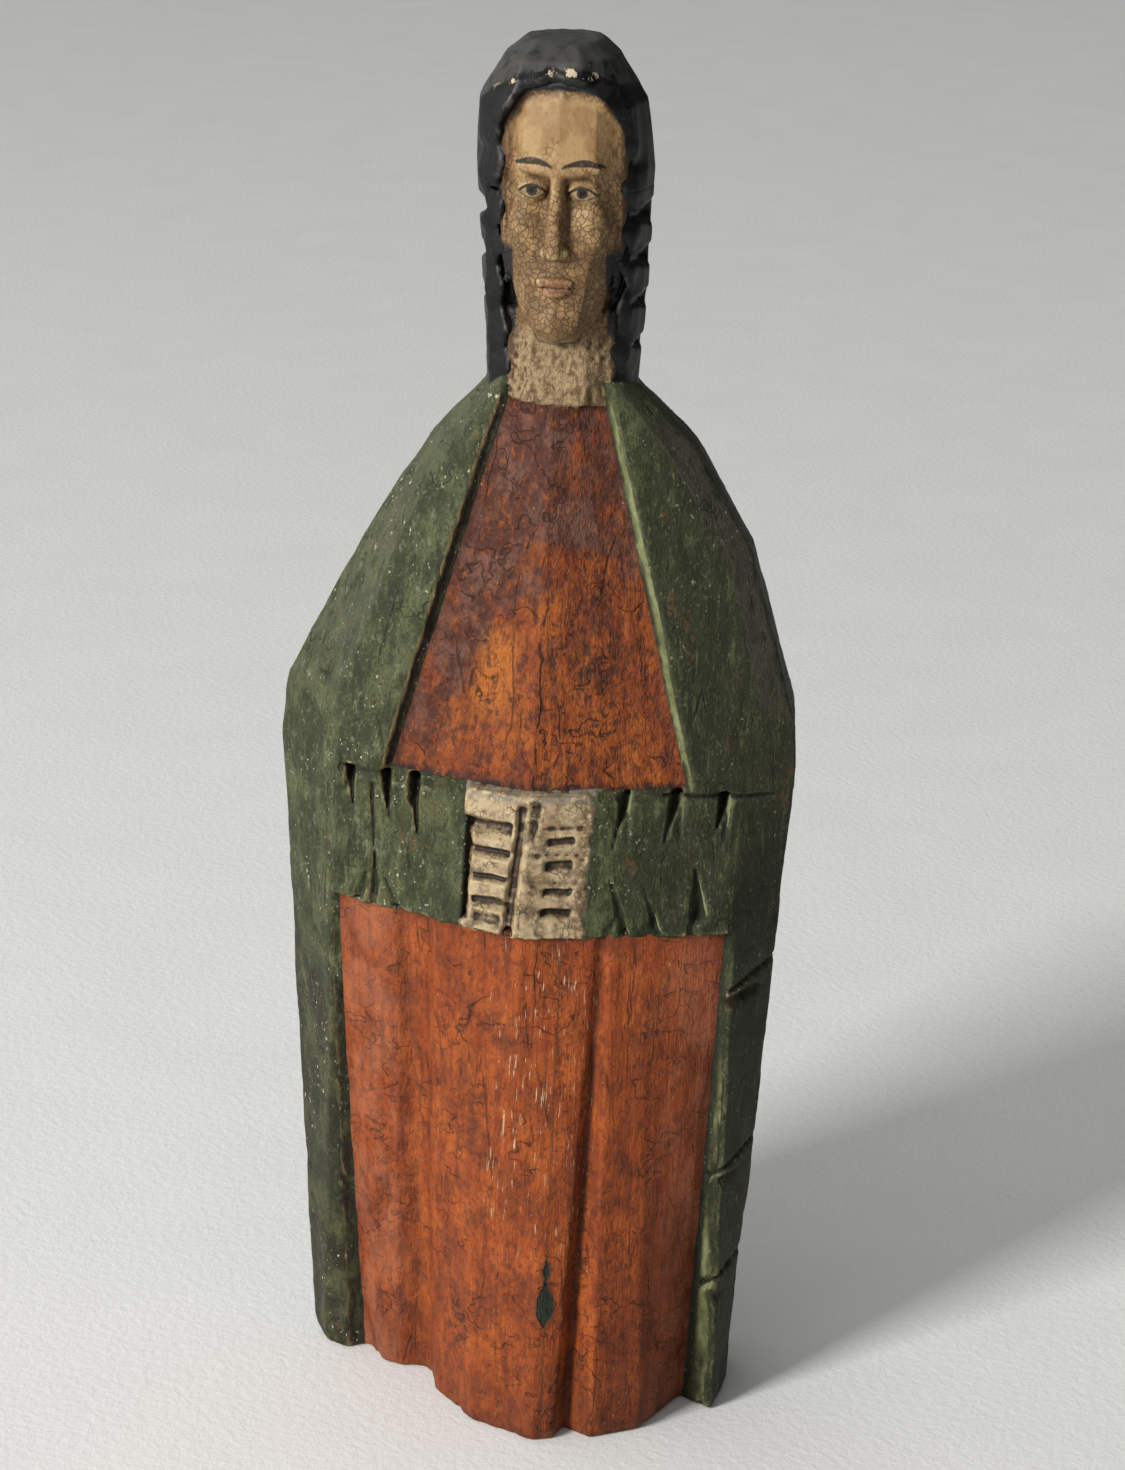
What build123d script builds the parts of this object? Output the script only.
"""A carved and painted wooden madonna, standing with folded hands.

Frame: +Z up, the figure faces -Y, origin on the ground in the middle of its outline.
Left and right are those of a person looking at the figure's front, so left is -X.
The carving is divided along its own carved lines: each robe, sleeve, hand and lock of
hair is one solid, seated face to face on its neighbours around a bare wooden core.
"""
import os
from math import atan2, cos, degrees, radians, sin
from typing import NamedTuple

from build123d import *

# ---------------------------------------------------------------- driving dimensions, mm
# Heights, stacked from the ground up.
skirt_height = 136.0  # hem to the underside of the sleeves
sleeve_height = 34.0  # the band of the forearms
bodice_height = 92.5  # sleeves to the neckline
neck_height = 15.5  # neckline to the chin
head_height = 72.0  # chin to the top of the hair
collar_rise = 4.5  # mantle's collar above the neckline
foot_bevel = 3.5  # height of the bevel all round the foot
foot_inset = 0.018  # share by which the foot bevel draws in

# Middle lines, from the middle of the outline.
axis_x = 3.0  # ridge of the robes
head_x = 3.6  # face and neck
parting_y = 0.0  # front half of the mantle meets the back

# Carved steps between neighbouring forms.
lapel_depth = 3.4  # mantle's edge stands over the bodice
skirt_step = 2.6  # sleeves stand over the skirt
sleeve_bevel = 2.4  # worn upper edge of the sleeves
hand_proud = 0.6  # hands stand over the sleeves
lapel_lean = 38.0  # degrees, slope of the cut wall beside the bodice
fall_lean = 55.0  # degrees, slope of the cut wall beside the skirt

# Bare core of the block, tapering upwards.
core_foot_width = 56.0
core_top_width = 22.0
core_front = 3.0
core_foot_back = 15.0
core_top_back = 8.0
core_top_gap = 13.0  # core ends this far under the neckline

# Half widths of the openings, from the ridge of the robes.
collar_half = 12.6
waist_half = 38.6
fall_half = 51.5
hem_half = 49.0

# Hands, side by side in the middle of the sleeve band.
hand_width = 16.0
finger_grooves = 4
finger_pitch = 6.6
finger_groove = 1.9
palm_groove = 1.6

# Knife cuts.
fold_cut = 2.8  # side of the square section of an upright cut in the sleeves
fold_cut_sink = 0.4  # its middle line starts this far under the surface
fold_cut_length = 26.0
fold_cut_tilt = 15.0  # degrees, so that a cut runs out to nothing
edge_cut = 3.2  # side of the square section of a cut across the mantle's right side
edge_cut_length = 28.0
edge_cut_tilt = 8.0  # degrees, rising backwards
edge_cut_heights = (33.0, 67.0, 116.5)
lock_cut = 4.6  # waves in the locks of hair
lock_waves = 4
wave_pitch = 10.4

# Head.
face_half = 14.0
neck_half = 12.2
skull_back = 12.0
hair_rim = 13.5  # hairline under the top of the hair
lock_top = 51.0  # locks divide from the cap this far above the neckline
lock_back = 4.0  # locks reach this far behind the middle

# ---------------------------------------------------------------- derived heights
sleeve_foot = skirt_height
sleeve_top = sleeve_foot + sleeve_height
neckline = sleeve_top + bodice_height
collar_top = neckline + collar_rise
chin = neckline + neck_height
top = chin + head_height
hairline = top - hair_rim
core_top = neckline - core_top_gap
reach = 240.0  # longer than any cut has to be


class Section(NamedTuple):
    """A plan section of the mantled body; left and right corners are (x, y)."""

    height: float
    ridge: float
    left_corner: tuple
    left_edge: tuple
    right_corner: tuple
    right_edge: tuple
    back: float


base = Section(foot_bevel, -27.0, (-53, -4.5), (-57.5, 4), (53, -16.5), (54.5, -4), 24)
forearm = Section(sleeve_foot, -39.0, (-47, -22), (-63.5, -2), (52, -24), (62.5, -9), 26)
cuff = Section(sleeve_top, -32.0, (-47, -20.5), (-65.5, -2), (54, -14), (64.5, -8), 27)
elbow = Section(
    sleeve_top + 16.0, -29.5, (-47.5, -17), (-64, -2), (57, -11.5), (64, -7), 26.5
)
chest = Section(
    sleeve_top + 56.0, -23.0, (-34.5, -11), (-43.5, -1), (46.5, -9), (51.5, -4), 22.5
)
shoulder = Section(
    sleeve_top + 81.0, -18.5, (-22.5, -8), (-28.5, 0), (31, -9), (37, -3), 18
)
collar = Section(collar_top, -15.5, (-10.5, -7.5), (-13.5, 0), (17, -9.5), (20, -3), 12.5)
body_sections = (base, forearm, cuff, elbow, chest, shoulder, collar)

# Plan points of the skirt from left to right, at the ground and under the sleeves.
skirt_at_ground = [
    (-44.0, -3.0), (-40.5, -5.0), (-35.3, -11.0), (-30.5, -13.2), (-24.0, -12.0),
    (-21.0, -15.0), (-18.6, -23.0), (-6.4, -36.8), (2.3, -39.8), (10.7, -43.0),
    (15.6, -41.0), (17.3, -34.0), (24.8, -38.4), (36.4, -31.5), (42.0, -17.0),
    (47.5, -3.0),
]  # fmt: skip
skirt_at_sleeves = [
    (-56.0, -3.0), (-50.0, -18.0), (-42.0, -21.5), (-30.5, -26.0), (-27.5, -24.6),
    (-22.0, -26.5), (-19.5, -30.8), (-9.0, -33.6), (3.0, -36.4), (12.0, -34.2),
    (20.5, -32.2), (22.3, -29.8), (24.5, -31.6), (32.0, -28.8), (50.0, -21.5),
    (60.0, -3.0),
]  # fmt: skip


def outline(s):
    """The corners of a plan section, from the ridge round by the right."""
    return [
        (axis_x, s.ridge),
        s.right_corner,
        s.right_edge,
        (s.right_edge[0] * 0.95, s.back * 0.55),
        (s.right_edge[0] * 0.62, s.back),
        (s.left_edge[0] * 0.62, s.back),
        (s.left_edge[0] * 0.95, s.back * 0.55),
        s.left_edge,
        s.left_corner,
    ]


def front_at(x, s):
    """Depth of a section's front plane at x, as a y."""
    corner = s.right_corner if x > axis_x else s.left_corner
    share = (x - axis_x) / (corner[0] - axis_x)
    return s.ridge + share * (corner[1] - s.ridge)


def band_front(x, z):
    """Depth of the sleeve band's front at x and height z."""
    share = (z - sleeve_foot) / sleeve_height
    return front_at(x, forearm) + share * (front_at(x, cuff) - front_at(x, forearm))


def on_front(half, side, s):
    """A point on a section's front plane, half away from the ridge."""
    x = axis_x + side * half
    return Vector(x, front_at(x, s), s.height)


def wall(upper, lower, side, lean):
    """Plane of a cut wall through two points, its normal pointing out of the recess."""
    inward = Vector(-side * sin(radians(lean)), cos(radians(lean)), 0)
    normal = (lower - upper).cross(inward)
    return Plane(origin=upper, z_dir=normal if normal.X * side > 0 else -normal)


lapels = [
    wall(on_front(collar_half, s, collar), on_front(waist_half, s, cuff), s, lapel_lean)
    for s in (-1, 1)
]
band_lean = degrees(atan2(cuff.ridge - forearm.ridge, sleeve_height))
falls = [
    wall(on_front(fall_half, s, forearm), on_front(hem_half, s, base), s, fall_lean)
    for s in (-1, 1)
]

# ---------------------------------------------------------------- cutting forms
with BuildPart() as body:
    with BuildSketch(Plane.XY):
        with BuildLine():
            inset = 1.0 - foot_inset
            Polyline(*[(x * inset, y * inset) for x, y in outline(base)], close=True)
        make_face()
    for s in body_sections:
        with BuildSketch(Plane.XY.offset(s.height)):
            with BuildLine():
                Polyline(*outline(s), close=True)
            make_face()
    loft(ruled=True)

with BuildPart() as bodice_recess:
    with Locations((0, -core_front, sleeve_top)):
        Box(reach, reach, reach, align=(Align.CENTER, Align.MAX, Align.MIN))
    for plane in lapels:
        split(bisect_by=plane, keep=Keep.BOTTOM)

with BuildPart() as skirt_recess:
    with Locations((0, -core_front, sleeve_foot)):
        Box(reach, reach, reach, align=(Align.CENTER, Align.MAX, Align.MAX))
    for plane in falls:
        split(bisect_by=plane, keep=Keep.BOTTOM)

band_left = forearm.left_corner[0]
band_right = forearm.right_corner[0]
with BuildPart() as sleeve_band:
    with BuildSketch(Plane.XZ.offset(core_front)):
        with Locations((band_left, sleeve_foot)):
            Rectangle(
                band_right - band_left, sleeve_height, align=(Align.MIN, Align.MIN)
            )
    extrude(amount=reach)

# ---------------------------------------------------------------- bare wooden core
with BuildPart() as wood_core:
    for z, width, back in (
        (0.0, core_foot_width, core_foot_back),
        (core_top, core_top_width, core_top_back),
    ):
        with BuildSketch(Plane.XY.offset(z)):
            with Locations((axis_x, -core_front)):
                Rectangle(width, back + core_front, align=(Align.CENTER, Align.MIN))
    loft(ruled=True)
wood_core.part.label = "wood_core"

# ---------------------------------------------------------------- head and neck
# Shares of the head's height, with half width and front of the plain carved face.
face_levels = [
    (0.00, 6.0, -16.5),
    (0.07, 9.0, -19.5),
    (0.20, 11.8, -19.3),
    (0.30, 13.2, -19.0),
    (0.44, 13.8, -18.2),
    (0.50, 14.0, -17.4),
    (0.57, 14.0, -19.4),
    (0.72, 13.8, -18.8),
    (0.83, 13.0, -16.6),
    (0.90, 9.0, -10.0),
]
brow = chin + 0.58 * head_height
eyes = chin + 0.50 * head_height
nose_base = (brow + chin) / 2
mouth = nose_base - (nose_base - chin) / 3

with BuildPart() as head_and_neck:
    for share, half, front in face_levels:
        half = half * face_half / 14.0
        with BuildSketch(Plane.XY.offset(chin + share * head_height)):
            with BuildLine():
                Polyline(
                    (head_x, front),
                    (head_x + 0.6 * half, front + 1.6),
                    (head_x + half, front + 7.5),
                    (head_x + half, 2.0),
                    (head_x + 0.7 * half, skull_back * (0.9 - 0.3 * abs(share - 0.5))),
                    (head_x - 0.7 * half, skull_back * (0.9 - 0.3 * abs(share - 0.5))),
                    (head_x - half, 2.0),
                    (head_x - half, front + 7.5),
                    (head_x - 0.6 * half, front + 1.6),
                    close=True,
                )
            make_face()
    loft(ruled=True)
    # Neck, widening to the neckline.
    for z, half, front in (
        (neckline, neck_half, -13.2),
        (chin + 6.0, neck_half - 0.5, -12.2),
    ):
        with BuildSketch(Plane.XY.offset(z)):
            with BuildLine():
                Polyline(
                    (head_x - 0.55 * half, front),
                    (head_x + 0.55 * half, front),
                    (head_x + half, front + 5.0),
                    (head_x + half, 8.0),
                    (head_x - half, 8.0),
                    (head_x - half, front + 5.0),
                    close=True,
                )
            make_face()
    loft(ruled=True)
    # Nose, a wedge from the brow to its base.
    for z, half, front in ((nose_base, 2.9, -23.2), (brow - 1.0, 1.5, -20.0)):
        with BuildSketch(Plane.XY.offset(z)):
            with BuildLine():
                Polyline(
                    (head_x - half, -14.0),
                    (head_x - half, -18.4),
                    (head_x - 0.35 * half, front),
                    (head_x + 0.35 * half, front),
                    (head_x + half, -18.4),
                    (head_x + half, -14.0),
                    close=True,
                )
            make_face()
    loft(ruled=True)
    # Lips, a low wedge with its edge at the mouth.
    with BuildSketch(Plane.YZ.offset(head_x - 4.0)):
        with BuildLine():
            Polyline(
                (-17.0, mouth - 2.8), (-20.6, mouth), (-17.0, mouth + 2.8), close=True
            )
        make_face()
    extrude(amount=8.0)
    # Eye hollows either side of the nose.
    with Locations(
        *[Location((head_x + s * 6.8, -20.6, eyes), (45, 0, -s * 9)) for s in (-1, 1)]
    ):
        Box(7.0, 3.4, 3.4, mode=Mode.SUBTRACT)
head_and_neck.part.label = "head_and_neck"

# ---------------------------------------------------------------- hair
# Height from the neckline, left and right extents, front and back.
# Each level: height, how far the hair stands out past the face left and right, front, back.
hair_levels = [
    (neckline - 6.0, 4.6, 2.9, -9.5, 14.0),
    (neckline + 0.31 * (top - neckline), 7.1, 4.9, -13.0, 18.0),
    (neckline + 0.63 * (top - neckline), 9.0, 5.6, -16.5, 20.0),
    (neckline + 0.81 * (top - neckline), 8.4, 3.2, -20.0, 19.0),
    (neckline + 0.925 * (top - neckline), 2.1, -3.1, -16.8, 13.5),
    (top, -6.4, -11.1, -5.5, 5.0),
]
with BuildPart() as hair_form:
    for z, past_left, past_right, front, back in hair_levels:
        left = head_x - face_half - past_left
        right = head_x + face_half + past_right
        middle = (left + right) / 2
        with BuildSketch(Plane.XY.offset(z)):
            with BuildLine():
                Polyline(
                    (middle + 0.50 * (right - middle), front),
                    (middle + 0.90 * (right - middle), front * 0.55),
                    (right, 1.0),
                    (middle + 0.85 * (right - middle), back * 0.66),
                    (middle + 0.45 * (right - middle), back),
                    (middle - 0.45 * (right - middle), back),
                    (middle - 0.85 * (right - middle), back * 0.66),
                    (left, 1.0),
                    (middle - 0.90 * (right - middle), front * 0.55),
                    (middle - 0.50 * (right - middle), front),
                    close=True,
                )
            make_face()
    loft(ruled=True)

with BuildPart() as face_window:
    with BuildSketch(Plane.XZ.offset(5.0)):
        with BuildLine():
            Polyline(
                (head_x - neck_half, neckline - 10.0),
                (head_x - neck_half, chin),
                (head_x - face_half, chin + 14.0),
                (head_x - face_half, hairline - 8.0),
                (head_x - 0.6 * face_half, hairline),
                (head_x, hairline + 2.5),
                (head_x + 0.6 * face_half, hairline),
                (head_x + face_half, hairline - 8.0),
                (head_x + face_half, chin + 14.0),
                (head_x + neck_half, chin),
                (head_x + neck_half, neckline - 10.0),
                close=True,
            )
        make_face()
    extrude(amount=reach)

lock_level = neckline + lock_top
with BuildPart() as hair_cap:
    add(hair_form.part)
    with Locations((0, lock_back, lock_level)):
        Box(
            reach,
            reach,
            reach,
            align=(Align.CENTER, Align.MAX, Align.MAX),
            mode=Mode.SUBTRACT,
        )
    add(face_window.part, mode=Mode.SUBTRACT)
    add(head_and_neck.part, mode=Mode.SUBTRACT)
    add(body.part, mode=Mode.SUBTRACT)
hair_cap.part.label = "hair_cap"

locks = {}
for side, name in ((-1, "hair_lock_left"), (1, "hair_lock_right")):
    with BuildPart() as lock:
        add(hair_form.part)
        with Locations((head_x, lock_back, lock_level)):
            Box(
                reach,
                reach,
                reach,
                align=(
                    Align.MAX if side < 0 else Align.MIN,
                    Align.MAX,
                    Align.MAX,
                ),
                mode=Mode.INTERSECT,
            )
        add(face_window.part, mode=Mode.SUBTRACT)
        add(head_and_neck.part, mode=Mode.SUBTRACT)
        add(body.part, mode=Mode.SUBTRACT)
        # Waves cut across the outer edge, from the chin up.
        past = hair_levels[1][1] if side < 0 else hair_levels[1][2]
        edge = head_x + side * (face_half + past)
        with Locations(
            *[
                Location((edge + side * 0.4, -7.0, chin - 2 + i * wave_pitch), (0, 45, 0))
                for i in range(lock_waves)
            ]
        ):
            Box(lock_cut, 22.0, lock_cut, mode=Mode.SUBTRACT)
    lock.part.label = name
    locks[name] = lock

# ---------------------------------------------------------------- bodice
with BuildPart() as bodice:
    for s, z, depth in ((cuff, sleeve_top, lapel_depth), (collar, neckline, 2.4)):
        with BuildSketch(Plane.XY.offset(z)):
            with BuildLine():
                Polyline(
                    (axis_x, s.ridge + depth),
                    (s.right_corner[0], s.right_corner[1] + depth),
                    (s.right_corner[0], -core_front),
                    (s.left_corner[0], -core_front),
                    (s.left_corner[0], s.left_corner[1] + depth),
                    close=True,
                )
            make_face()
    loft(ruled=True)
    add(bodice_recess.part, mode=Mode.INTERSECT)
bodice.part.label = "bodice"

# ---------------------------------------------------------------- skirt
with BuildPart() as skirt:
    with BuildSketch(Plane.XY):
        with BuildLine():
            hem = [(x * (1 - foot_inset), y * (1 - 2 * foot_inset)) for x, y in skirt_at_ground]
            Polyline(*hem, close=True)
        make_face()
    with BuildSketch(Plane.XY.offset(foot_bevel)):
        with BuildLine():
            Polyline(*skirt_at_ground, close=True)
        make_face()
    with BuildSketch(Plane.XY.offset(sleeve_foot)):
        with BuildLine():
            Polyline(*skirt_at_sleeves, close=True)
        make_face()
    loft(ruled=True)
    add(skirt_recess.part, mode=Mode.INTERSECT)
skirt.part.label = "skirt"

# ---------------------------------------------------------------- hands
hands = {}
hands_left = axis_x - hand_width
hands_right = axis_x + hand_width
for side, name in ((-1, "hand_left"), (1, "hand_right")):
    with BuildPart() as hand:
        add(body.part.moved(Location((0, -hand_proud, 0))))
        add(sleeve_band.part, mode=Mode.INTERSECT)
        with Locations((axis_x, 0, sleeve_foot)):
            Box(
                hand_width,
                reach,
                sleeve_height,
                align=(Align.MAX if side < 0 else Align.MIN, Align.CENTER, Align.MIN),
                mode=Mode.INTERSECT,
            )
        # Upright grooves: one between the hands, one at the sleeve.
        for x in (axis_x, axis_x + side * hand_width):
            z = sleeve_foot + sleeve_height / 2
            with Locations(Location((x, band_front(x, z) - hand_proud, z), (-band_lean, 0, 0))):
                Box(palm_groove, 2 * palm_groove, 2 * sleeve_height, mode=Mode.SUBTRACT)
        # Level grooves between the fingers.
        x = axis_x + side * hand_width / 2
        for i in range(finger_grooves):
            z = sleeve_foot + (i + 1) * finger_pitch
            slope = front_at(axis_x + side * hand_width, forearm) - forearm.ridge
            turn = side * degrees(atan2(slope, hand_width))
            with Locations(
                Location((x, band_front(x, z) - hand_proud, z), (0, 0, turn))
                * Location((0, 0, 0), (45, 0, 0))
            ):
                Box(
                    hand_width + 6.0,
                    finger_groove,
                    finger_groove,
                    mode=Mode.SUBTRACT,
                )
    hand.part.label = name
    hands[name] = hand

# ---------------------------------------------------------------- sleeves
# Upright cuts: x along the sleeve, lean of the cut, and whether it opens at the top.
sleeve_cuts = {
    "sleeve_left": [(-43.0, 12, True), (-33.8, -4, True), (-26.6, 3, True), (-36, 0, False)],
    "sleeve_right": [
        (25.0, -10, True), (37.5, -8, True), (48.5, -6, True),
        (23.8, 18, False), (33.6, 8, False), (43.4, 8, False),
    ],
}  # fmt: skip
sleeves = {}
for side, name in ((-1, "sleeve_left"), (1, "sleeve_right")):
    inner = axis_x + side * hand_width
    outer = band_left if side < 0 else band_right
    with BuildPart() as sleeve:
        add(body.part)
        add(sleeve_band.part, mode=Mode.INTERSECT)
        with Locations(((inner + outer) / 2, 0, sleeve_foot)):
            Box(
                abs(outer - inner),
                reach,
                sleeve_height,
                align=(Align.CENTER, Align.CENTER, Align.MIN),
                mode=Mode.INTERSECT,
            )
        upper = edges().group_by(Axis.Z)[-1].sort_by(Axis.Y)[0]
        chamfer(upper, sleeve_bevel)
        for x, lean, opens_up in sleeve_cuts[name]:
            end = sleeve_top if opens_up else sleeve_foot
            tilt = band_lean + (fold_cut_tilt if opens_up else -fold_cut_tilt)
            depth = fold_cut_sink + (sleeve_bevel / 2 if opens_up else 0)
            with Locations(
                Location((x, band_front(x, end) + depth, end), (0, lean, 0))
                * Location((0, 0, 0), (-tilt, 0, 0))
                * Location((0, 0, 0), (0, 0, 45))
            ):
                Box(fold_cut, fold_cut, fold_cut_length, mode=Mode.SUBTRACT)
    sleeve.part.label = name
    sleeves[name] = sleeve

# ---------------------------------------------------------------- mantle
with BuildPart() as mantle_back:
    add(body.part)
    split(bisect_by=Plane.XZ.offset(-parting_y), keep=Keep.BOTTOM)
    add(wood_core.part, mode=Mode.SUBTRACT)
    add(head_and_neck.part, mode=Mode.SUBTRACT)
mantle_back.part.label = "mantle_back"

mantles = {}
for side, name in ((-1, "mantle_left"), (1, "mantle_right")):
    with BuildPart() as mantle:
        add(body.part)
        split(bisect_by=Plane.XZ.offset(-parting_y), keep=Keep.TOP)
        split(
            bisect_by=Plane.YZ.offset(axis_x),
            keep=Keep.BOTTOM if side < 0 else Keep.TOP,
        )
        add(bodice_recess.part, mode=Mode.SUBTRACT)
        add(skirt_recess.part, mode=Mode.SUBTRACT)
        add(sleeve_band.part, mode=Mode.SUBTRACT)
        add(wood_core.part, mode=Mode.SUBTRACT)
        add(head_and_neck.part, mode=Mode.SUBTRACT)
        if side > 0:
            # Cuts across the side facet of the fall, from its front corner backwards.
            for z in edge_cut_heights:
                share = (z - base.height) / (forearm.height - base.height)
                corner = Vector(base.right_corner) * (1 - share)
                corner += Vector(forearm.right_corner) * share
                facet = Vector(forearm.right_edge) - Vector(forearm.right_corner)
                turn = degrees(atan2(facet.Y, facet.X))
                with Locations(
                    Location((corner.X, corner.Y, z), (0, 0, turn))
                    * Location((0, 0, 0), (0, -edge_cut_tilt, 0))
                    * Location((0, 0, 0), (45, 0, 0))
                ):
                    Box(edge_cut_length, edge_cut, edge_cut, mode=Mode.SUBTRACT)
    mantle.part.label = name
    mantles[name] = mantle

# ---------------------------------------------------------------- export
pieces = [wood_core, mantle_back, head_and_neck, hair_cap, bodice, skirt]
pieces += list(locks.values()) + list(hands.values())
pieces += list(sleeves.values()) + list(mantles.values())

# The origin goes under the middle of the whole outline.
skirt_front = min(y for x, y in skirt_at_ground)
middle_x = (cuff.left_edge[0] + cuff.right_edge[0]) / 2
middle_y = (skirt_front + cuff.back) / 2
to_middle = Location((-middle_x, -middle_y, 0))

os.makedirs("parts", exist_ok=True)
for piece in pieces:
    name = piece.part.label
    piece.part = piece.part.moved(to_middle)
    piece.part.label = name
    export_step(piece.part, f"parts/{name}.step")
    print(name, len(piece.part.solids()), round(piece.part.volume))
